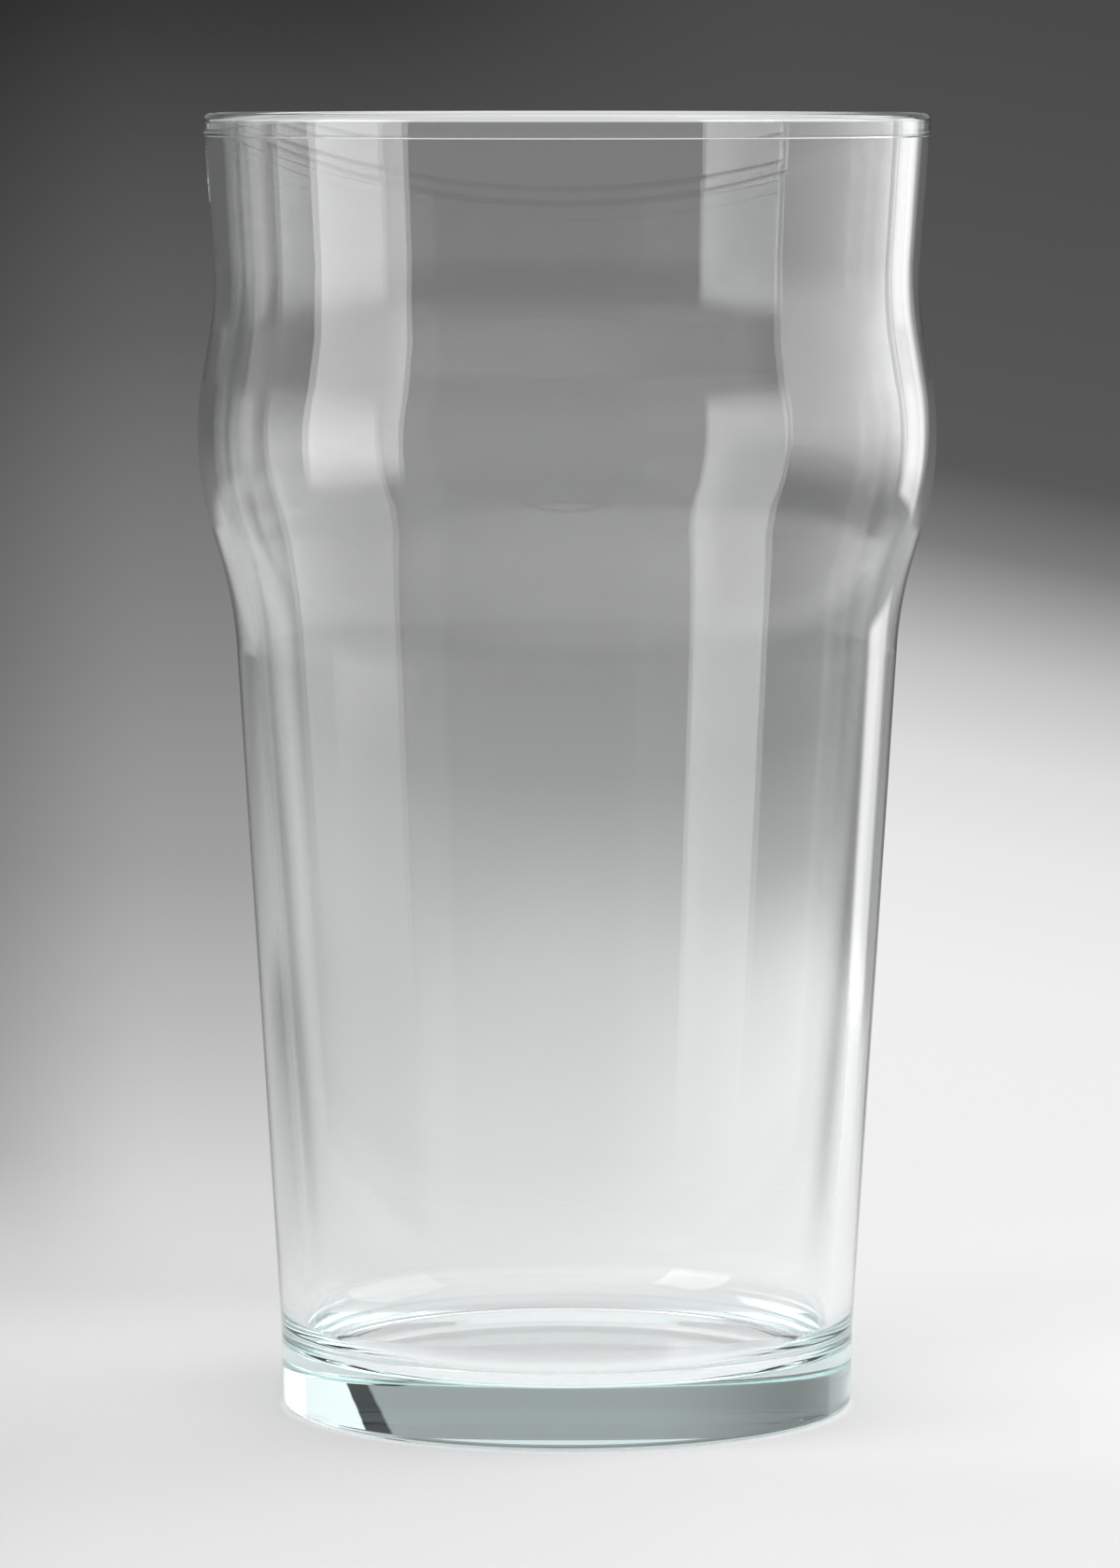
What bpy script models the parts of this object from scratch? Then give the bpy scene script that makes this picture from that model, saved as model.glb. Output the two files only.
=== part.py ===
"""Nonic pint glass: a single piece of clear glass, turned about the Z axis, standing on z = 0.

The half section is one outline. It starts in the middle of the inner floor, goes up the inside,
over the rounded rim, down past the bead and the outside, and in under the base. Its straight runs
meet in rounded corners: a neck below the rim, the bulge that keeps stacked glasses apart, the
shoulder under the bulge and the heel of the base. Lengths are in metres.
"""
import math

import bmesh
import bpy
from mathutils import Vector

MM = 0.001

# Outside of the glass, as the corners where the straight runs of the outline would meet
HEIGHT = 150.0 * MM
RIM_RADIUS = 41.85 * MM
NECK_RADIUS = 40.45 * MM
NECK_DROP = 21.0 * MM
NECK_FILLET = 34.0 * MM
BULGE_RADIUS = 43.55 * MM
BULGE_DROP = 39.3 * MM
BULGE_FILLET = 37.0 * MM
SHOULDER_RADIUS = 38.5 * MM
SHOULDER_DROP = 56.2 * MM
SHOULDER_FILLET = 47.0 * MM
FOOT_RADIUS = 32.8 * MM
HEEL_FILLET = 1.8 * MM

# Thickness of the wall at each corner, measured sideways
RIM_WALL = 2.05 * MM
NECK_WALL = 1.9 * MM
BULGE_WALL = 1.75 * MM
SHOULDER_WALL = 2.0 * MM
FOOT_WALL = 2.6 * MM

# Rounded rim with a bead outside, and the small step under the bead
RIM_FILLET = 1.1 * MM
BEAD_PROUD = 0.2 * MM
BEAD_HEIGHT = 2.6 * MM
BEAD_FILLET = 0.25 * MM
BEAD_STEP = 0.2 * MM

# Heavy base: inner floor, and the flat ring that it stands on round a shallow recess
FLOOR_HEIGHT = 6.4 * MM
FLOOR_FILLET = 5.2 * MM
RING_WIDTH = 2.0 * MM
RECESS_DEPTH = 1.0 * MM
RECESS_SLOPE = 0.8 * MM
RECESS_FILLET = 1.0 * MM
RECESS_DOME = 0.15 * MM

# How finely the round stretches are divided
TURN_STEPS = 72
RIM_STEPS = 5
BEAD_STEPS = 2
NECK_STEPS = 4
BULGE_STEPS = 7
SHOULDER_STEPS = 4
HEEL_STEPS = 4
FLOOR_STEPS = 6
RECESS_STEPS = 3

# A rounded corner takes up at most this share of the straight run on either side of it
FILLET_SHARE = 0.49
AXIS_MERGE = 0.01 * MM

GLASS_COLOUR = (0.93, 0.97, 0.96, 1.0)
GLASS_ROUGHNESS = 0.02
GLASS_IOR = 1.52


def point(radius, height):
    """Point of the half section."""
    return Vector((radius, height))


def arc(centre, start, end, steps):
    """Points of the shorter arc about a centre, from start to end, both included."""
    first = start - centre
    last = end - centre
    begin = math.atan2(first.y, first.x)
    turn = math.atan2(first.x * last.y - first.y * last.x, first.dot(last))
    angles = [begin + turn * step / steps for step in range(steps + 1)]
    return [centre + first.length * point(math.cos(a), math.sin(a)) for a in angles]


def rounded_corner(before, corner, after, fillet, steps):
    """Arc that rounds a corner, limited by the straight runs that meet there."""
    back = before - corner
    ahead = after - corner
    half_angle = back.angle(ahead) / 2
    room = FILLET_SHARE * min(back.length, ahead.length)
    reach = min(fillet / math.tan(half_angle), room)
    towards_centre = (back.normalized() + ahead.normalized()).normalized()
    centre = corner + towards_centre * reach / math.cos(half_angle)
    start = corner + back.normalized() * reach
    end = corner + ahead.normalized() * reach
    return arc(centre, start, end, steps)


def rounded_run(corners):
    """Points along straight runs with rounded corners. A corner is (point, fillet, steps)."""
    points = []
    for (before, _, _), (corner, fillet, steps), (after, _, _) in zip(corners, corners[1:], corners[2:]):
        points += rounded_corner(before, corner, after, fillet, steps)
    return points


def outer_wall_radius(drop):
    """Radius of the outside between the rim and the neck, at a depth below the rim."""
    return RIM_RADIUS + (NECK_RADIUS - RIM_RADIUS) * drop / NECK_DROP


def recess_dome(edge_radius):
    """Points of the slightly domed top of the recess under the base, from its edge to the axis."""
    shares = [1 - step / RECESS_STEPS for step in range(RECESS_STEPS + 1)]
    return [point(edge_radius * share, RECESS_DEPTH + RECESS_DOME * (1 - share ** 2)) for share in shares]


def half_section():
    """The whole outline, from the middle of the inner floor to the middle of the underside."""
    neck_height = HEIGHT - NECK_DROP
    bulge_height = HEIGHT - BULGE_DROP
    shoulder_height = HEIGHT - SHOULDER_DROP
    wall_under_bead = BEAD_HEIGHT + BEAD_STEP

    floor_middle = point(0, FLOOR_HEIGHT)
    inner_foot = point(FOOT_RADIUS - FOOT_WALL, FLOOR_HEIGHT)
    inner_shoulder = point(SHOULDER_RADIUS - SHOULDER_WALL, shoulder_height)
    inner_bulge = point(BULGE_RADIUS - BULGE_WALL, bulge_height)
    inner_neck = point(NECK_RADIUS - NECK_WALL, neck_height)
    inner_rim = point(RIM_RADIUS - RIM_WALL, HEIGHT)

    bead_top = point(RIM_RADIUS + BEAD_PROUD, HEIGHT)
    bead_foot = point(outer_wall_radius(BEAD_HEIGHT) + BEAD_PROUD, HEIGHT - BEAD_HEIGHT)
    crease = point(outer_wall_radius(wall_under_bead), HEIGHT - wall_under_bead)
    outer_neck = point(NECK_RADIUS, neck_height)
    outer_bulge = point(BULGE_RADIUS, bulge_height)
    outer_shoulder = point(SHOULDER_RADIUS, shoulder_height)
    outer_foot = point(FOOT_RADIUS, 0)
    ring_edge = point(FOOT_RADIUS - HEEL_FILLET - RING_WIDTH, 0)
    recess_edge = point(ring_edge.x - RECESS_SLOPE, RECESS_DEPTH)
    dome = recess_dome(recess_edge.x - RECESS_FILLET)

    walls = rounded_run([
        (floor_middle, 0, 0),
        (inner_foot, FLOOR_FILLET, FLOOR_STEPS),
        (inner_shoulder, SHOULDER_FILLET + SHOULDER_WALL, SHOULDER_STEPS),
        (inner_bulge, BULGE_FILLET - BULGE_WALL, BULGE_STEPS),
        (inner_neck, NECK_FILLET + NECK_WALL, NECK_STEPS),
        (inner_rim, RIM_FILLET, RIM_STEPS),
        (bead_top, RIM_FILLET, RIM_STEPS),
        (bead_foot, BEAD_FILLET, BEAD_STEPS),
        (crease, BEAD_FILLET, BEAD_STEPS),
        (outer_neck, NECK_FILLET, NECK_STEPS),
        (outer_bulge, BULGE_FILLET, BULGE_STEPS),
        (outer_shoulder, SHOULDER_FILLET, SHOULDER_STEPS),
        (outer_foot, HEEL_FILLET, HEEL_STEPS),
        (ring_edge, RECESS_FILLET, RECESS_STEPS),
        (recess_edge, RECESS_FILLET, RECESS_STEPS),
        (dome[0], 0, 0),
    ])
    return [floor_middle] + walls + dome


def clear_glass():
    """Clear soda-lime glass with the faint green of its edges."""
    material = bpy.data.materials.new("clear_glass")
    material.use_nodes = True
    shader = material.node_tree.nodes["Principled BSDF"]
    shader.inputs["Base Color"].default_value = GLASS_COLOUR
    shader.inputs["Roughness"].default_value = GLASS_ROUGHNESS
    shader.inputs["Metallic"].default_value = 0.0
    shader.inputs["IOR"].default_value = GLASS_IOR
    shader.inputs["Transmission Weight"].default_value = 1.0
    return material


def turned_solid(name, outline, material, collection):
    """Solid of revolution about Z from the points of its half section."""
    profile = bmesh.new()
    corners = [profile.verts.new((p.x, 0, p.y)) for p in outline]
    for first, second in zip(corners, corners[1:]):
        profile.edges.new((first, second))
    mesh = bpy.data.meshes.new(name)
    profile.to_mesh(mesh)
    profile.free()
    mesh.materials.append(material)
    solid = bpy.data.objects.new(name, mesh)
    collection.objects.link(solid)
    screw = solid.modifiers.new("turn", "SCREW")
    screw.axis = "Z"
    screw.angle = math.tau
    screw.steps = TURN_STEPS
    screw.render_steps = TURN_STEPS
    screw.use_merge_vertices = True
    screw.merge_threshold = AXIS_MERGE
    screw.use_smooth_shade = True
    return solid


def main():
    for old in list(bpy.data.objects):
        bpy.data.objects.remove(old)
    collection = bpy.data.collections.new("nonic_pint_glass")
    bpy.context.scene.collection.children.link(collection)
    turned_solid("pint_glass", half_section(), clear_glass(), collection)


main()
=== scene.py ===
"""Looks of the nonic pint glass: the clear glass itself, the table it stands on and studio light.

The glass is one smooth turned mesh that stands for the CAD node. Its outline is close to the CAD
outline, with a more upright foot, and is divided finely enough for clean refraction. The camera
stands where the photograph's did. Lengths are in metres.
"""
import math

import bpy
import numpy as np
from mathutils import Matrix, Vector


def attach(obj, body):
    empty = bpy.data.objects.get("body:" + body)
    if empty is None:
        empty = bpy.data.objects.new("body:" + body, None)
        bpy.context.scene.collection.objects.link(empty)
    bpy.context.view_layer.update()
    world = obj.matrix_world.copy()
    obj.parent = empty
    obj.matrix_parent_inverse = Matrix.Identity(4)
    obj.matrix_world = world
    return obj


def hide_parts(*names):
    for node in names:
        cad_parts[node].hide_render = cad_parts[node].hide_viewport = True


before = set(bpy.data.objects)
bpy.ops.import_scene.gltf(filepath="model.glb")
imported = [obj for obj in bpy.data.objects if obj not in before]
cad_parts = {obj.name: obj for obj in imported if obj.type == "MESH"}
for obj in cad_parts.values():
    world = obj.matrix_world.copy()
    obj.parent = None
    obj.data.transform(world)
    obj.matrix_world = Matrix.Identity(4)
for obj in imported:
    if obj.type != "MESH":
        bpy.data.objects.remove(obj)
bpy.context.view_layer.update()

MM = 0.001

# Outside of the glass, as the corners where the straight runs of the outline would meet
HEIGHT = 150.0 * MM
RIM_RADIUS = 41.85 * MM
NECK_RADIUS = 40.45 * MM
NECK_DROP = 21.0 * MM
NECK_FILLET = 34.0 * MM
BULGE_RADIUS = 43.55 * MM
BULGE_DROP = 39.3 * MM
BULGE_FILLET = 37.0 * MM
SHOULDER_RADIUS = 38.5 * MM
SHOULDER_DROP = 56.2 * MM
SHOULDER_FILLET = 47.0 * MM
BAND_RADIUS = 33.3 * MM
BAND_HEIGHT = 9.0 * MM
BAND_FILLET = 40.0 * MM
FOOT_RADIUS = 33.15 * MM
HEEL_FILLET = 0.95 * MM

# Thickness of the wall at each corner, measured sideways
RIM_WALL = 2.05 * MM
NECK_WALL = 1.9 * MM
BULGE_WALL = 1.75 * MM
SHOULDER_WALL = 2.0 * MM
FOOT_WALL = 2.9 * MM

# Rounded rim with a bead outside, and the small step under the bead
RIM_FILLET = 0.95 * MM
BEAD_PROUD = 0.12 * MM
BEAD_HEIGHT = 2.6 * MM
BEAD_FILLET = 0.1 * MM
BEAD_STEP = 0.12 * MM

# Heavy base: inner floor, and the flat ring that it stands on round a shallow recess
FLOOR_HEIGHT = 6.5 * MM
FLOOR_FILLET = 5.2 * MM
RING_WIDTH = 1.0 * MM
RECESS_DEPTH = 0.38 * MM
RECESS_SLOPE = 0.4 * MM
RECESS_FILLET = 0.4 * MM
RECESS_DOME = 0.08 * MM

# How finely the round stretches are divided, and the longest step along a straight run
TURN_STEPS = 160
RIM_STEPS = 24
BEAD_STEPS = 8
WALL_ARC_STEPS = 32
HEEL_STEPS = 12
FLOOR_STEPS = 24
RECESS_STEPS = 24
LONGEST_STEP = 1.2 * MM

# A rounded corner takes up at most this share of the straight run on either side of it
FILLET_SHARE = 0.49

# Clear glass, with the faint green that shows where light goes a long way through it
GLASS_COLOUR = (1.0, 1.0, 1.0, 1.0)
GLASS_IOR = 1.52
GLASS_TINT = (0.7, 0.965, 0.955, 1.0)
TINT_DENSITY = 8.5

# Traces of making and use: smears, scuffs on the contact ring, and faint waves left by the mould
SMEAR_SCALE = 45.0
SMEAR_DETAIL = 4.0
SMEAR_BREAKUP = 0.6
SMEAR_RANGE = (0.5, 0.75)
SMEAR_ROUGHNESS = 0.015
SCUFF_SCALE = 900.0
SCUFF_DETAIL = 3.0
SCUFF_HEIGHT = 0.25 * MM
SCUFF_ROUGHNESS = 0.3
WAVE_SCALE = 55.0
WAVE_DETAIL = 1.0
WAVE_DEPTH = 0.006 * MM

# Camera, fitted to the rim and the foot in the photograph
CAMERA_PLACE = Vector((-0.0008, -0.865, 0.1545))
CAMERA_PITCH = math.radians(5.42)
LENS = 172.0
SENSOR = 36.0

# Bounces of light, enough for all the walls that a view goes through
LIGHT_BOUNCES = 32

# Round table. Its grey carries painted shade, standing in for how the lamps light it: darker to the
# left, brighter just behind the glass and dimmer further back. It fades into the backdrop far behind
# the glass and at its edge. A painted pool of light under the base stands in for the light that the
# glass gathers
TABLE_RADIUS = 0.36
TABLE_SIDES = 96
TABLE_DROP = 0.05 * MM
TABLE_PAINTED_SHADE = [(-0.2, 0.22), (-0.1, 0.52), (-0.05, 0.64), (0.02, 0.72), (0.1, 0.72)]
TABLE_NEAR = (-0.06, 0.02)
TABLE_PAINTED_NEAR_LEVELS = (1.0, 1.17)
TABLE_FAR = (0.03, 0.09)
TABLE_PAINTED_FAR_LEVELS = (0.855, 0.92)
TABLE_FAR_TURN = (-0.02, 0.04)
TABLE_FADE = (0.06, 0.2)
TABLE_FADE_HALF_WIDTH = 0.07
TABLE_FADE_SLANT = 1.5
TABLE_EDGE_FADE = (0.26, 0.35)
PAINTED_POOL_REACH = (0.031, 0.034)
PAINTED_POOL_LEVEL = 0.56

# Upright lamps, each on a line between two places at the table's height. A level of 1 is as bright as
# white. The two soft shares of the height, at the bottom and at the top, are where the light fades out
LEFT_LAMP_ENDS = ((-0.32, -0.265), (-0.36, -0.033))
LEFT_LAMP_HEIGHT = 0.45
LEFT_LAMP_LEVEL = 3.0
LEFT_LAMP_SOFT = (0.2, 0.2)
RIGHT_LAMP_ENDS = ((0.42, -0.155), (0.381, 0.275))
RIGHT_LAMP_HEIGHT = 0.42
RIGHT_LAMP_LEVEL = 2.0
RIGHT_LAMP_SOFT = (0.28, 0.02)

# Studio round the glass, by direction in degrees. Azimuth is 0 straight behind the glass and grows to
# the right. A pair of angles is where something fades in or out, and a pair of levels goes with the
# pair of angles above it. A stop is (elevation, level)
BEHIND_HIGH = [(-5, 0.2), (-3, 0.14), (0, 0.06), (1.5, 0.06), (4, 0.34), (18, 0.34), (25, 0.8)]
BEHIND_LEFT_LOW = [(-40, 0.7), (-14, 0.6), (-10.5, 0.72), (-8.7, 0.66), (-7.4, 0.52), (-6, 0.27)]
BEHIND_RIGHT_LOW = [
    (-40, 0.75), (-14, 0.75), (-10, 0.84), (-8.7, 0.82), (-7.9, 0.7), (-7, 0.4), (-6, 0.23),
]
BEHIND_JOIN = (0, 5)
BEHIND_LOW = (2, 5)
LEFT_DIM = [(-10, 0.5), (-8.5, 0.38), (-7.5, 0.2), (-6, 0.18), (-2, 0.12)]
LEFT_DIM_END = (-17, -5)
RIGHT_DIM = [(-10, 0.4), (-8.5, 0.3), (-7.5, 0.2), (-5, 0.15), (0, 0.12)]
RIGHT_DIM_START = (10, 16)
LEFT_FALL = (-45, -8)
LEFT_FALL_LEVELS = (0.45, 1.0)
SIDES = [(-3, 0.25), (3, 0.7), (40, 0.7)]
SIDES_START = (42, 55)
FRONT = [
    (-20, 0.15), (-13, 0.22), (-9, 0.6), (0, 0.85), (7, 1.25),
    (17, 1.4), (30, 1.5), (50, 1.6), (80, 0.6),
]
FRONT_START = (105, 125)
FRONT_THROUGH = 0.55
LEFT_BACK_START = (-20, -10)
LEFT_BACK_END = (85, 100)
LEFT_BACK_TOP = (16, 22)
LEFT_WALL_START = (-60, -57)
LEFT_WALL_END = (-130, -115)
LEFT_WALL_TURN = (2, 7)
LEFT_WALL_LEVELS = (0.65, 0.28)
LEFT_MIRRORED = [
    (-25, 0.35), (-14, 0.4), (-11, 0.7), (-10.3, 0.7), (-8.5, 0.4),
    (-6.5, 0.4), (-5, 0.75), (3, 0.75), (8, 1.3),
]
CEILING_START = (45, 60)
CEILING_LEVEL = 1.05

# Rays that went through the glass are deeper than this, and those that its outside mirrors are not
THROUGH_DEPTH = 0.5

# Black gap that shows in the base, and the white patch beside it. The gap's edges lean
LEAN_SPAN = (8.5, 11.5)
LEAN = (-4.5, 4.5)
GAP_START = (30.3, 31.3)
GAP_END = (36.6, 37.4)
GAP_BOTTOM = (3, 6)
PATCH_START = (36.8, 37.4)
PATCH_END = (62, 68)
PATCH_BOTTOM = (3, 7)
PATCH_TOP = (13, 18)
PATCH_LEVEL = 1.05

# Glow in the right edge of the glass, and the sheen that its outside mirrors there
GLOW_START = (23, 28)
GLOW_SLANT = 0.5
GLOW_END = (46, 51)
GLOW_BOTTOM = (-9.5, -5)
GLOW_TOP = (3, 7)
GLOW_TURN = (30, 38)
GLOW_LEVELS = (0.65, 1.15)
SHEEN_START = (30, 36)
SHEEN_END = (47, 52)
SHEEN_BOTTOM = (-11.5, -9.5)
SHEEN_TOP = (12, 16)
SHEEN_TURN = (36, 46)
SHEEN_LEVELS = (2.0, 3.6)

# Backdrop as the camera sees it: dark above and pale below. On the right the change sinks outwards
SEEN_LEFT = [(-10, 0.75), (-8.5, 0.67), (-7.3, 0.5), (-6, 0.35), (-4.5, 0.25), (-2, 0.12), (0.5, 0.04)]
SEEN_LEFT_FALL = (-5, -3)
SEEN_LEFT_LEVELS = (0.6, 1.0)
SEEN_RIGHT = [
    (-10, 0.88), (-7, 0.87), (-5.9, 0.81), (-5.2, 0.72), (-4.5, 0.54), (-3.6, 0.2), (-3, 0.1), (0.5, 0.07),
]
SEEN_RIGHT_SLANT = 0.18
SEEN_RIGHT_REACH = 20.0
SEEN_RIGHT_LIFT = 0.55
SEEN_JOIN = (-2, 2)


def point(radius, height):
    """Point of the half section."""
    return Vector((radius, height))


def arc(centre, start, end, steps):
    """Points of the shorter arc about a centre, from start to end, both included."""
    first = start - centre
    last = end - centre
    begin = math.atan2(first.y, first.x)
    turn = math.atan2(first.x * last.y - first.y * last.x, first.dot(last))
    angles = [begin + turn * step / steps for step in range(steps + 1)]
    return [centre + first.length * point(math.cos(a), math.sin(a)) for a in angles]


def rounded_corner(before, corner, after, fillet, steps):
    """Arc that rounds a corner, limited by the straight runs that meet there."""
    back = before - corner
    ahead = after - corner
    half_angle = back.angle(ahead) / 2
    room = FILLET_SHARE * min(back.length, ahead.length)
    reach = min(fillet / math.tan(half_angle), room)
    towards_centre = (back.normalized() + ahead.normalized()).normalized()
    centre = corner + towards_centre * reach / math.cos(half_angle)
    start = corner + back.normalized() * reach
    end = corner + ahead.normalized() * reach
    return arc(centre, start, end, steps)


def rounded_run(corners):
    """Points along straight runs with rounded corners. A corner is (point, fillet, steps)."""
    points = []
    for (before, _, _), (corner, fillet, steps), (after, _, _) in zip(corners, corners[1:], corners[2:]):
        points += rounded_corner(before, corner, after, fillet, steps)
    return points


def outer_wall_radius(drop):
    """Radius of the outside between the rim and the neck, at a depth below the rim."""
    return RIM_RADIUS + (NECK_RADIUS - RIM_RADIUS) * drop / NECK_DROP


def recess_dome(edge_radius):
    """Points of the slightly domed top of the recess under the base, from its edge to the axis."""
    shares = [1 - step / RECESS_STEPS for step in range(RECESS_STEPS + 1)]
    return [point(edge_radius * share, RECESS_DEPTH + RECESS_DOME * (1 - share ** 2)) for share in shares]


def half_section():
    """The whole outline, from the middle of the inner floor to the middle of the underside."""
    neck_height = HEIGHT - NECK_DROP
    bulge_height = HEIGHT - BULGE_DROP
    shoulder_height = HEIGHT - SHOULDER_DROP
    wall_under_bead = BEAD_HEIGHT + BEAD_STEP

    floor_middle = point(0, FLOOR_HEIGHT)
    inner_foot = point(FOOT_RADIUS - FOOT_WALL, FLOOR_HEIGHT)
    inner_shoulder = point(SHOULDER_RADIUS - SHOULDER_WALL, shoulder_height)
    inner_bulge = point(BULGE_RADIUS - BULGE_WALL, bulge_height)
    inner_neck = point(NECK_RADIUS - NECK_WALL, neck_height)
    inner_rim = point(RIM_RADIUS - RIM_WALL, HEIGHT)

    bead_top = point(RIM_RADIUS, HEIGHT)
    bead_foot = point(outer_wall_radius(BEAD_HEIGHT) + BEAD_PROUD, HEIGHT - BEAD_HEIGHT)
    crease = point(outer_wall_radius(wall_under_bead), HEIGHT - wall_under_bead)
    outer_neck = point(NECK_RADIUS, neck_height)
    outer_bulge = point(BULGE_RADIUS, bulge_height)
    outer_shoulder = point(SHOULDER_RADIUS, shoulder_height)
    outer_band = point(BAND_RADIUS, BAND_HEIGHT)
    outer_foot = point(FOOT_RADIUS, 0)
    ring_edge = point(FOOT_RADIUS - HEEL_FILLET - RING_WIDTH, 0)
    recess_edge = point(ring_edge.x - RECESS_SLOPE, RECESS_DEPTH)
    dome = recess_dome(recess_edge.x - RECESS_FILLET)

    walls = rounded_run([
        (floor_middle, 0, 0),
        (inner_foot, FLOOR_FILLET, FLOOR_STEPS),
        (inner_shoulder, SHOULDER_FILLET + SHOULDER_WALL, WALL_ARC_STEPS),
        (inner_bulge, BULGE_FILLET - BULGE_WALL, WALL_ARC_STEPS),
        (inner_neck, NECK_FILLET + NECK_WALL, WALL_ARC_STEPS),
        (inner_rim, RIM_FILLET, RIM_STEPS),
        (bead_top, RIM_FILLET, RIM_STEPS),
        (bead_foot, BEAD_FILLET, BEAD_STEPS),
        (crease, BEAD_FILLET, BEAD_STEPS),
        (outer_neck, NECK_FILLET, WALL_ARC_STEPS),
        (outer_bulge, BULGE_FILLET, WALL_ARC_STEPS),
        (outer_shoulder, SHOULDER_FILLET, WALL_ARC_STEPS),
        (outer_band, BAND_FILLET, WALL_ARC_STEPS),
        (outer_foot, HEEL_FILLET, HEEL_STEPS),
        (ring_edge, RECESS_FILLET, HEEL_STEPS),
        (recess_edge, RECESS_FILLET, HEEL_STEPS),
        (dome[0], 0, 0),
    ])
    return [floor_middle] + walls + dome


def finely_divided(points):
    """The same outline with its long straight runs divided into short steps."""
    divided = [points[0]]
    for start, end in zip(points, points[1:]):
        steps = math.ceil((end - start).length / LONGEST_STEP)
        divided += [start + (end - start) * step / steps for step in range(1, steps + 1)]
    return divided


def outline_normals(points):
    """Directions out of the glass at the inner points of the outline, led by the longer run there."""
    runs = np.diff(points, axis=0)
    lengths = np.linalg.norm(runs, axis=1)
    weighted = np.stack([-runs[:, 1], runs[:, 0]], axis=1) * lengths[:, None]
    sums = weighted[:-1] + weighted[1:]
    return sums / np.linalg.norm(sums, axis=1)[:, None]


def turned(rings, turn_steps):
    """Places or directions of the half section, repeated all round the Z axis."""
    turns = np.arange(turn_steps) * math.tau / turn_steps
    spread = np.empty((len(rings), turn_steps, 3))
    spread[:, :, 0] = rings[:, :1] * np.cos(turns)
    spread[:, :, 1] = rings[:, :1] * np.sin(turns)
    spread[:, :, 2] = rings[:, 1:]
    return spread.reshape(-1, 3).tolist()


def turned_mesh(name, outline, turn_steps):
    """Closed mesh of revolution about Z. The outline starts and ends on the axis."""
    points = np.array([(p.x, p.y) for p in outline])
    verts = turned(points[1:-1], turn_steps)
    normals = turned(outline_normals(points), turn_steps)
    first_middle = len(verts)
    last_middle = first_middle + 1
    verts += [(0, 0, outline[0].y), (0, 0, outline[-1].y)]
    normals += [(0, 0, 1), (0, 0, -1)]

    last_ring = first_middle - turn_steps
    faces = []
    for here in range(turn_steps):
        beside = (here + 1) % turn_steps
        faces.append((first_middle, here, beside))
        faces.append((last_middle, last_ring + beside, last_ring + here))
        for ring in range(0, last_ring, turn_steps):
            below = ring + turn_steps
            faces.append((ring + here, below + here, below + beside, ring + beside))
    mesh = bpy.data.meshes.new(name)
    mesh.from_pydata(verts, [], faces)
    mesh.polygons.foreach_set("use_smooth", np.ones(len(faces), dtype=bool))
    mesh.normals_split_custom_set_from_vertices(normals)
    mesh.update()
    return mesh


def add_node(tree, kind, inputs=None, **settings):
    """Shader node with its settings, and its inputs set to a value or linked to a socket."""
    made = tree.nodes.new(kind)
    for name, value in settings.items():
        setattr(made, name, value)
    for name, value in (inputs or {}).items():
        socket = made.inputs[name]
        if isinstance(value, bpy.types.NodeSocket):
            tree.links.new(value, socket)
        else:
            socket.default_value = value
    return made


def ramp(tree, value, span, levels, interpolation="SMOOTHSTEP"):
    """Socket that goes from one level to another while a value goes along a span."""
    made = add_node(tree, "ShaderNodeMapRange", {
        "Value": value,
        "From Min": span[0],
        "From Max": span[1],
        "To Min": levels[0],
        "To Max": levels[1],
    }, interpolation_type=interpolation)
    return made.outputs["Result"]


def fade_in(tree, value, span):
    """Socket that goes smoothly from 0 to 1 along a span."""
    return ramp(tree, value, span, (0.0, 1.0))


def fade_out(tree, value, span):
    """Socket that goes smoothly from 1 to 0 along a span."""
    return ramp(tree, value, span, (1.0, 0.0))


def math_socket(tree, operation, *values):
    """Socket with the result of a sum on numbers or sockets."""
    made = add_node(tree, "ShaderNodeMath", dict(enumerate(values)), operation=operation)
    return made.outputs["Value"]


def product(tree, first, *others):
    """Socket with the product of numbers or sockets."""
    for other in others:
        first = math_socket(tree, "MULTIPLY", first, other)
    return first


def blend(tree, share, first, second):
    """Socket that goes from the first number to the second as the share goes from 0 to 1."""
    made = add_node(tree, "ShaderNodeMix", {"Factor": share, "A": first, "B": second})
    return made.outputs["Result"]


def level_curve(tree, value, stops):
    """Socket with a brightness that follows straight lines between (value, level) stops."""
    first = stops[0][0]
    last = stops[-1][0]
    place = ramp(tree, value, (first, last), (0.0, 1.0), "LINEAR")
    made = add_node(tree, "ShaderNodeValToRGB", {"Fac": place})
    elements = made.color_ramp.elements
    elements.remove(elements[0])
    for number, (stop, level) in enumerate(stops):
        share = (stop - first) / (last - first)
        element = elements[0] if number == 0 else elements.new(share)
        element.position = share
        element.color = (level, level, level, 1.0)
    return made.outputs["Color"]


def node_material(name):
    """New material with an empty node tree."""
    material = bpy.data.materials.new(name)
    material.use_nodes = True
    material.node_tree.nodes.clear()
    return material


def glass_roughness(tree, place):
    """Socket with the roughness of the glass: faint smears all over, and scuffs on the contact ring."""
    smears = add_node(tree, "ShaderNodeTexNoise", {
        "Vector": place,
        "Scale": SMEAR_SCALE,
        "Detail": SMEAR_DETAIL,
        "Roughness": SMEAR_BREAKUP,
    })
    film = ramp(tree, smears.outputs["Fac"], SMEAR_RANGE, (0.0, SMEAR_ROUGHNESS))
    grain = add_node(tree, "ShaderNodeTexNoise", {
        "Vector": place,
        "Scale": SCUFF_SCALE,
        "Detail": SCUFF_DETAIL,
    })
    height = add_node(tree, "ShaderNodeSeparateXYZ", {"Vector": place}).outputs["Z"]
    scuffs = product(tree, fade_out(tree, height, (0.0, SCUFF_HEIGHT)), grain.outputs["Fac"])
    return math_socket(tree, "MULTIPLY_ADD", scuffs, SCUFF_ROUGHNESS, film)


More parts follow.
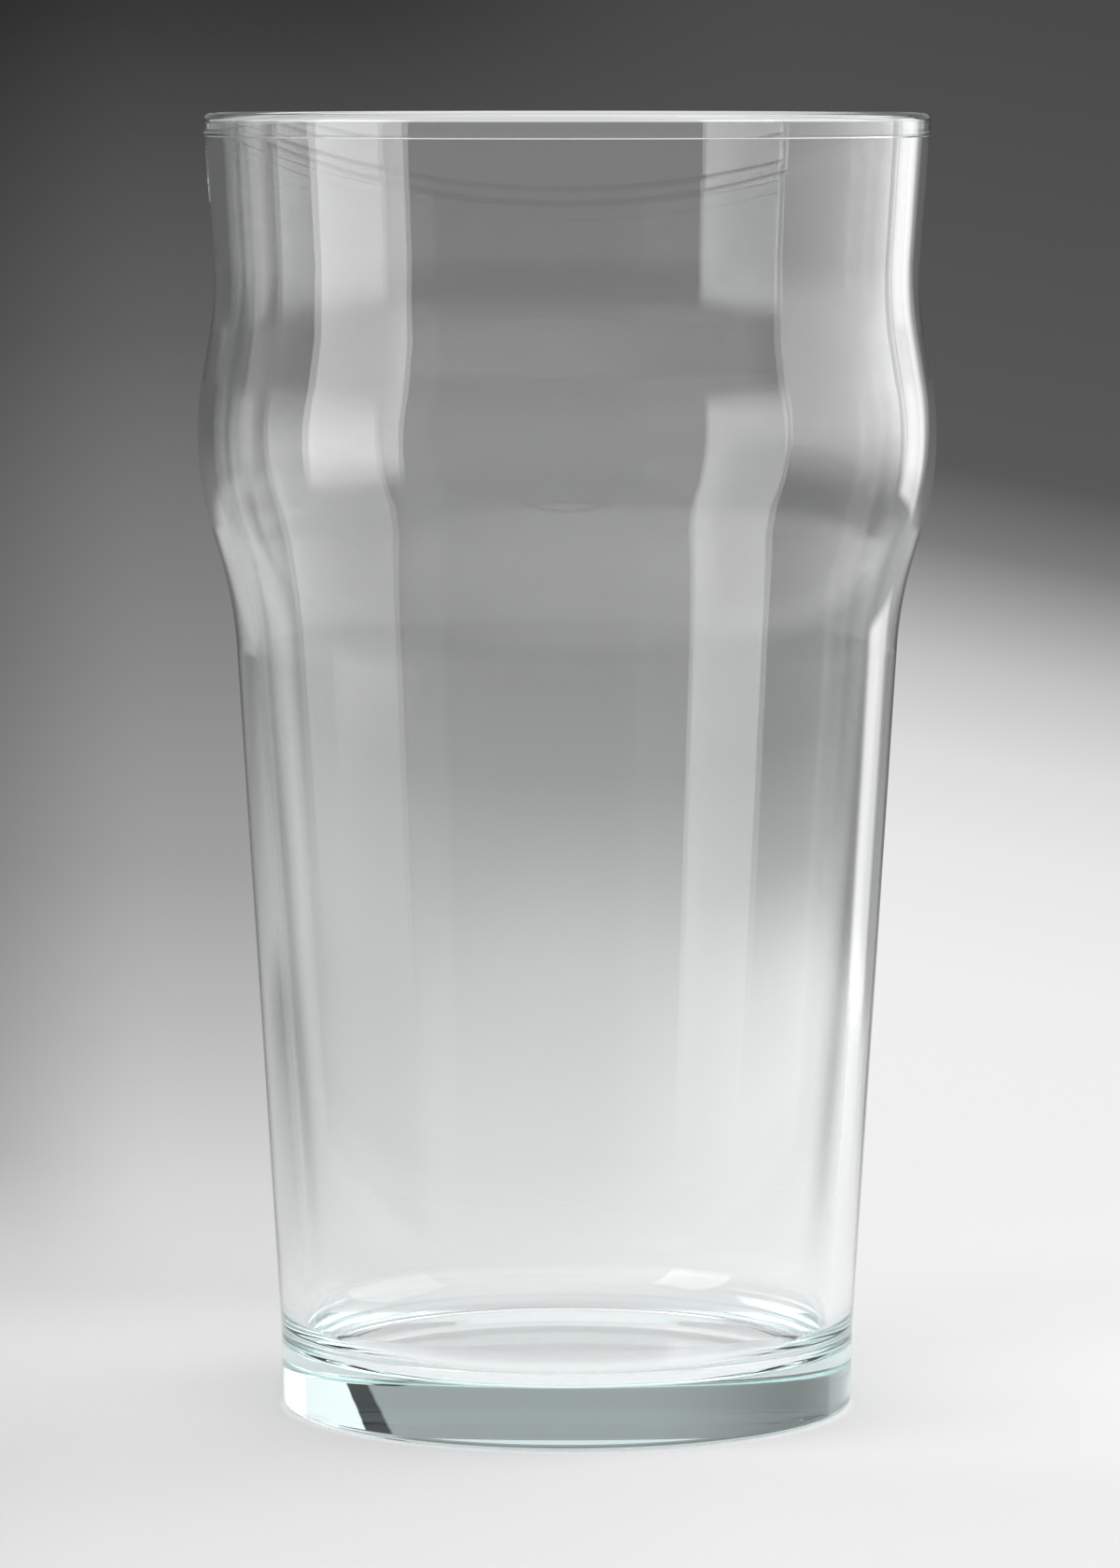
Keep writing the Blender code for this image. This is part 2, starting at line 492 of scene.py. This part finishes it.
def clear_glass():
    """Clear soda-lime glass, faintly green where the light goes a long way through it."""
    material = node_material("clear_glass_finish")
    tree = material.node_tree
    place = add_node(tree, "ShaderNodeTexCoord").outputs["Object"]
    swell = add_node(tree, "ShaderNodeTexNoise", {
        "Vector": place,
        "Scale": WAVE_SCALE,
        "Detail": WAVE_DETAIL,
    })
    waves = add_node(tree, "ShaderNodeBump", {
        "Strength": 1.0,
        "Distance": WAVE_DEPTH,
        "Height": swell.outputs["Fac"],
    })
    shader = add_node(tree, "ShaderNodeBsdfPrincipled", {
        "Base Color": GLASS_COLOUR,
        "Roughness": glass_roughness(tree, place),
        "IOR": GLASS_IOR,
        "Transmission Weight": 1.0,
        "Normal": waves.outputs["Normal"],
    })
    absorption = add_node(tree, "ShaderNodeVolumeAbsorption", {
        "Color": GLASS_TINT,
        "Density": TINT_DENSITY,
    })
    add_node(tree, "ShaderNodeOutputMaterial", {
        "Surface": shader.outputs["BSDF"],
        "Volume": absorption.outputs["Volume"],
    })
    return material


def add_glass():
    """The glass, standing for its CAD node."""
    mesh = turned_mesh("pint_glass_fine", finely_divided(half_section()), TURN_STEPS)
    mesh.materials.append(clear_glass())
    glass = bpy.data.objects.new("pint_glass_fine", mesh)
    bpy.context.scene.collection.objects.link(glass)
    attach(glass, "root")
    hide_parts("pint_glass")


def painted_table_shade(tree, x, y):
    """Socket with the table's grey at a place, with painted shade: darker to the left, changing front to
    back.
    """
    # Painted shade: darker to the left, brighter just behind the glass and dimmer further back
    across = level_curve(tree, x, TABLE_PAINTED_SHADE)
    near = ramp(tree, y, TABLE_NEAR, TABLE_PAINTED_NEAR_LEVELS)
    far_shade = ramp(tree, x, TABLE_FAR_TURN, TABLE_PAINTED_FAR_LEVELS)
    far = ramp(tree, y, TABLE_FAR, (1.0, far_shade))
    return product(tree, across, near, far)


def table_fade(tree, x, y, reach):
    """Socket that goes to 1 where the table gives way to the backdrop: far back, and at its edge."""
    outwards = math_socket(tree, "SUBTRACT", math_socket(tree, "ABSOLUTE", x), TABLE_FADE_HALF_WIDTH)
    spread = math_socket(tree, "MAXIMUM", outwards, 0.0)
    back = math_socket(tree, "MULTIPLY_ADD", spread, -TABLE_FADE_SLANT, y)
    far_back = fade_in(tree, back, TABLE_FADE)
    return math_socket(tree, "MAXIMUM", far_back, fade_in(tree, reach, TABLE_EDGE_FADE))


def table_with_painted_light():
    """Pale matt table fading into the backdrop, with painted shade and a painted pool of light under the
    base.
    """
    material = node_material("floor_with_painted_light")
    tree = material.node_tree
    place = add_node(tree, "ShaderNodeNewGeometry").outputs["Position"]
    parts = add_node(tree, "ShaderNodeSeparateXYZ", {"Vector": place})
    x = parts.outputs["X"]
    y = parts.outputs["Y"]
    reach = add_node(tree, "ShaderNodeVectorMath", {0: place}, operation="LENGTH").outputs["Value"]
    matt = add_node(tree, "ShaderNodeBsdfDiffuse", {"Color": painted_table_shade(tree, x, y)})
    # Painted pool of light under the base, standing in for the light that the glass gathers
    strength = ramp(tree, reach, PAINTED_POOL_REACH, (PAINTED_POOL_LEVEL, 0.0))
    painted_pool = add_node(tree, "ShaderNodeEmission", {"Strength": strength})
    lit_and_painted_pool = add_node(tree, "ShaderNodeAddShader", {0: matt.outputs["BSDF"], 1: painted_pool.outputs["Emission"]})
    clear = add_node(tree, "ShaderNodeBsdfTransparent")
    mixed = add_node(tree, "ShaderNodeMixShader", {
        0: table_fade(tree, x, y, reach),
        1: lit_and_painted_pool.outputs["Shader"],
        2: clear.outputs["BSDF"],
    })
    add_node(tree, "ShaderNodeOutputMaterial", {"Surface": mixed.outputs["Shader"]})
    return material


def add_table():
    """Round table top under the glass."""
    turns = [step * math.tau / TABLE_SIDES for step in range(TABLE_SIDES)]
    edge = [(TABLE_RADIUS * math.cos(a), TABLE_RADIUS * math.sin(a), -TABLE_DROP) for a in turns]
    mesh = bpy.data.meshes.new("table")
    mesh.from_pydata(edge, [], [range(TABLE_SIDES)])
    mesh.materials.append(table_with_painted_light())
    table = bpy.data.objects.new("table", mesh)
    bpy.context.scene.collection.objects.link(table)


def add_lamp(name, ends, height, level, soft):
    """Upright studio light on a line between two places at the table's height, facing the glass.

    Its light fades out over a soft share of its height at the bottom and at the top.
    """
    near = Vector(ends[0])
    far = Vector(ends[1])
    middle = (near + far) / 2
    data = bpy.data.lights.new(name, "AREA")
    data.shape = "RECTANGLE"
    data.size = (far - near).length
    data.size_y = height
    data.energy = level * math.pi * data.size * data.size_y
    data.use_nodes = True
    tree = data.node_tree
    tree.nodes.clear()
    place = add_node(tree, "ShaderNodeNewGeometry").outputs["Parametric"]
    share = add_node(tree, "ShaderNodeSeparateXYZ", {"Vector": place}).outputs["Y"]
    below = fade_in(tree, share, (0.0, soft[0]))
    above = fade_out(tree, share, (1 - soft[1], 1.0))
    strength = product(tree, below, above)
    glow = add_node(tree, "ShaderNodeEmission", {"Strength": strength})
    add_node(tree, "ShaderNodeOutputLight", {"Surface": glow.outputs["Emission"]})

    lamp = bpy.data.objects.new(name, data)
    across = (far - near).normalized()
    facing = Vector((across.y, -across.x, 0))
    if facing.dot(middle.to_3d()) > 0:
        facing = -facing
    lamp.location = (middle.x, middle.y, height / 2)
    lamp.rotation_euler = facing.to_track_quat("-Z", "Y").to_euler()
    lamp.visible_camera = False
    bpy.context.scene.collection.objects.link(lamp)


def backdrop_behind(tree, azimuth, elevation, leaning):
    """Level behind the glass: pale near the table and dimmer to both sides, with the black gap."""
    left = level_curve(tree, elevation, BEHIND_LEFT_LOW + BEHIND_HIGH)
    right = level_curve(tree, elevation, BEHIND_RIGHT_LOW + BEHIND_HIGH)
    level = blend(tree, fade_in(tree, azimuth, BEHIND_JOIN), left, right)
    low = fade_out(tree, elevation, BEHIND_LOW)
    left_dim = product(tree, fade_out(tree, azimuth, LEFT_DIM_END), low)
    level = blend(tree, left_dim, level, level_curve(tree, elevation, LEFT_DIM))
    right_dim = product(tree, fade_in(tree, azimuth, RIGHT_DIM_START), low)
    level = blend(tree, right_dim, level, level_curve(tree, elevation, RIGHT_DIM))
    gap_start = fade_in(tree, leaning, GAP_START)
    gap_end = fade_out(tree, leaning, GAP_END)
    gap = product(tree, gap_start, gap_end, fade_in(tree, elevation, GAP_BOTTOM))
    level = blend(tree, gap, level, 0.0)
    fallen = product(tree, level, ramp(tree, azimuth, LEFT_FALL, LEFT_FALL_LEVELS))
    return blend(tree, low, fallen, level)


def studio_walls(tree, azimuth, elevation, behind, mirrored):
    """Level all round: the backdrop behind, the sides, the front, and the wall at the left."""
    aside = math_socket(tree, "ABSOLUTE", azimuth)
    front = level_curve(tree, elevation, FRONT)
    through = math_socket(tree, "MAXIMUM", front, FRONT_THROUGH)
    front = blend(tree, mirrored, through, front)
    sides = level_curve(tree, elevation, SIDES)
    walls = blend(tree, fade_in(tree, aside, FRONT_START), sides, front)
    level = blend(tree, fade_in(tree, aside, SIDES_START), behind, walls)

    left_back_start = fade_out(tree, azimuth, LEFT_BACK_START)
    left_back_end = fade_out(tree, aside, LEFT_BACK_END)
    left_back = product(tree, left_back_start, left_back_end, fade_out(tree, elevation, LEFT_BACK_TOP))
    level = blend(tree, left_back, level, behind)

    left_wall_start = fade_out(tree, azimuth, LEFT_WALL_START)
    left_wall = product(tree, left_wall_start, fade_in(tree, azimuth, LEFT_WALL_END))
    left_through = ramp(tree, elevation, LEFT_WALL_TURN, LEFT_WALL_LEVELS)
    left_level = blend(tree, mirrored, left_through, level_curve(tree, elevation, LEFT_MIRRORED))
    return blend(tree, left_wall, level, left_level)


def glow_share(tree, azimuth, elevation):
    """Share of the glow that lights the right edge of the glass."""
    sunk = math_socket(tree, "MINIMUM", elevation, 0.0)
    slanted = math_socket(tree, "MULTIPLY_ADD", sunk, GLOW_SLANT, azimuth)
    return product(
        tree,
        fade_in(tree, slanted, GLOW_START),
        fade_out(tree, azimuth, GLOW_END),
        fade_in(tree, elevation, GLOW_BOTTOM),
        fade_out(tree, elevation, GLOW_TOP),
    )


def patch_share(tree, azimuth, elevation, leaning, mirrored):
    """Share of the white patch that shows in the base, and isn't mirrored on the outside."""
    return product(
        tree,
        fade_in(tree, leaning, PATCH_START),
        fade_out(tree, azimuth, PATCH_END),
        fade_in(tree, elevation, PATCH_BOTTOM),
        fade_out(tree, elevation, PATCH_TOP),
        math_socket(tree, "SUBTRACT", 1.0, mirrored),
    )


def sheen_share(tree, azimuth, elevation, mirrored):
    """Share of the sheen that only the outside of the glass mirrors."""
    return product(
        tree,
        fade_in(tree, azimuth, SHEEN_START),
        fade_out(tree, azimuth, SHEEN_END),
        fade_in(tree, elevation, SHEEN_BOTTOM),
        fade_out(tree, elevation, SHEEN_TOP),
        mirrored,
    )


def seen_backdrop(tree, azimuth, elevation):
    """Level of the backdrop as the camera sees it past the glass."""
    left = level_curve(tree, elevation, SEEN_LEFT)
    left = product(tree, left, ramp(tree, azimuth, SEEN_LEFT_FALL, SEEN_LEFT_LEVELS))
    from_left = math_socket(tree, "MAXIMUM", azimuth, -SEEN_RIGHT_REACH)
    within_reach = math_socket(tree, "MINIMUM", from_left, SEEN_RIGHT_REACH)
    slanted = math_socket(tree, "MULTIPLY_ADD", within_reach, SEEN_RIGHT_SLANT, elevation)
    right = level_curve(tree, math_socket(tree, "SUBTRACT", slanted, SEEN_RIGHT_LIFT), SEEN_RIGHT)
    return blend(tree, fade_in(tree, azimuth, SEEN_JOIN), left, right)


def add_world():
    """Studio surround: the backdrop behind the glass, walls round the rest and a pale ceiling."""
    world = bpy.data.worlds.new("studio")
    world.use_nodes = True
    tree = world.node_tree
    tree.nodes.clear()
    direction = add_node(tree, "ShaderNodeTexCoord").outputs["Generated"]
    parts = add_node(tree, "ShaderNodeSeparateXYZ", {"Vector": direction})
    turn = math_socket(tree, "ARCTAN2", parts.outputs["X"], parts.outputs["Y"])
    azimuth = math_socket(tree, "DEGREES", turn)
    elevation = math_socket(tree, "DEGREES", math_socket(tree, "ARCSINE", parts.outputs["Z"]))
    leaning = math_socket(tree, "ADD", azimuth, ramp(tree, elevation, LEAN_SPAN, LEAN, "LINEAR"))

    path = add_node(tree, "ShaderNodeLightPath")
    outside = math_socket(tree, "LESS_THAN", path.outputs["Transmission Depth"], THROUGH_DEPTH)
    mirrored = product(tree, path.outputs["Is Glossy Ray"], outside)

    behind = backdrop_behind(tree, azimuth, elevation, leaning)
    level = studio_walls(tree, azimuth, elevation, behind, mirrored)
    glow_level = ramp(tree, azimuth, GLOW_TURN, GLOW_LEVELS)
    level = blend(tree, glow_share(tree, azimuth, elevation), level, glow_level)
    level = blend(tree, patch_share(tree, azimuth, elevation, leaning, mirrored), level, PATCH_LEVEL)
    sheen_level = ramp(tree, azimuth, SHEEN_TURN, SHEEN_LEVELS)
    level = blend(tree, sheen_share(tree, azimuth, elevation, mirrored), level, sheen_level)
    level = blend(tree, fade_in(tree, elevation, CEILING_START), level, CEILING_LEVEL)
    seen = seen_backdrop(tree, azimuth, elevation)
    level = blend(tree, path.outputs["Is Camera Ray"], level, seen)
    light = add_node(tree, "ShaderNodeBackground", {"Color": level, "Strength": 1.0})
    add_node(tree, "ShaderNodeOutputWorld", {"Surface": light.outputs["Background"]})
    bpy.context.scene.world = world


def add_camera():
    """Camera at the photograph's place and angle."""
    data = bpy.data.cameras.new("camera")
    data.lens = LENS
    data.sensor_width = SENSOR
    camera = bpy.data.objects.new("camera", data)
    camera.location = CAMERA_PLACE
    camera.rotation_euler = (math.pi / 2 - CAMERA_PITCH, 0, 0)
    bpy.context.scene.collection.objects.link(camera)
    bpy.context.scene.camera = camera


def main():
    scene = bpy.context.scene
    scene.view_settings.view_transform = "Standard"
    scene.cycles.max_bounces = LIGHT_BOUNCES
    scene.cycles.transmission_bounces = LIGHT_BOUNCES
    scene.cycles.glossy_bounces = LIGHT_BOUNCES
    add_glass()
    add_table()
    add_lamp("left softbox", LEFT_LAMP_ENDS, LEFT_LAMP_HEIGHT, LEFT_LAMP_LEVEL, LEFT_LAMP_SOFT)
    add_lamp("right panel", RIGHT_LAMP_ENDS, RIGHT_LAMP_HEIGHT, RIGHT_LAMP_LEVEL, RIGHT_LAMP_SOFT)
    add_world()
    add_camera()


main()
